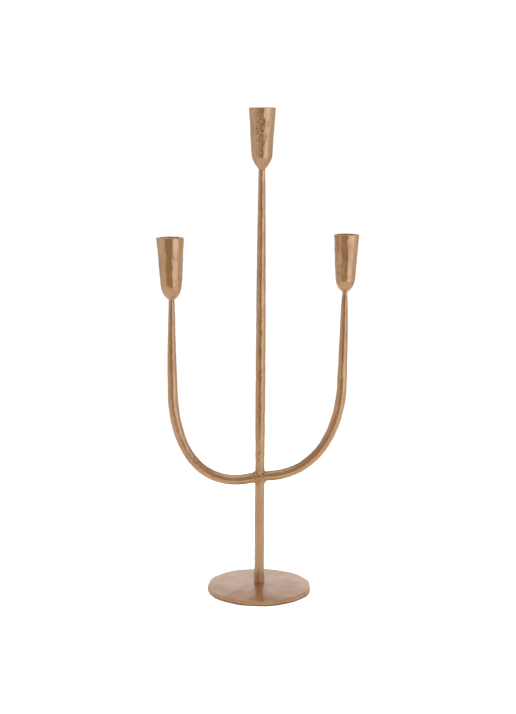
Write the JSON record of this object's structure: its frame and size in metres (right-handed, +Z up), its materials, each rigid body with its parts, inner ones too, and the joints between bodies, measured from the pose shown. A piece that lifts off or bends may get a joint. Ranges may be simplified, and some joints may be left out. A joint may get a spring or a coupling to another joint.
{
  "type": "tabletop candelabra",
  "caption": "Tabletop candelabra: a hammered bar stem on a round plate, with a curved arm to each side and tapered cups that hold taper candles.",
  "frame": {"origin": "on the stem's axis at the underside of the felt, where the candelabra stands", "axes": "+Z up along the stem, +X towards the right-hand cup, -Y towards the viewer"},
  "size_m": [0.2113, 0.112, 0.5195],
  "materials": {
    "plate_brass": "satin",
    "bar_brass": "satin",
    "cup_brass": "satin",
    "braze": "satin",
    "screw_steel": "satin",
    "felt": "matte"
  },
  "bodies": {
    "root": {"base_plate": "plate_brass", "base_felt": "felt", "base_screw": "screw_steel", "stem": "bar_brass", "left_arm": "bar_brass", "right_arm": "bar_brass", "left_braze": "braze", "right_braze": "braze", "left_cup": "cup_brass", "middle_cup": "cup_brass", "right_cup": "cup_brass"}
  },
  "joints": []
}
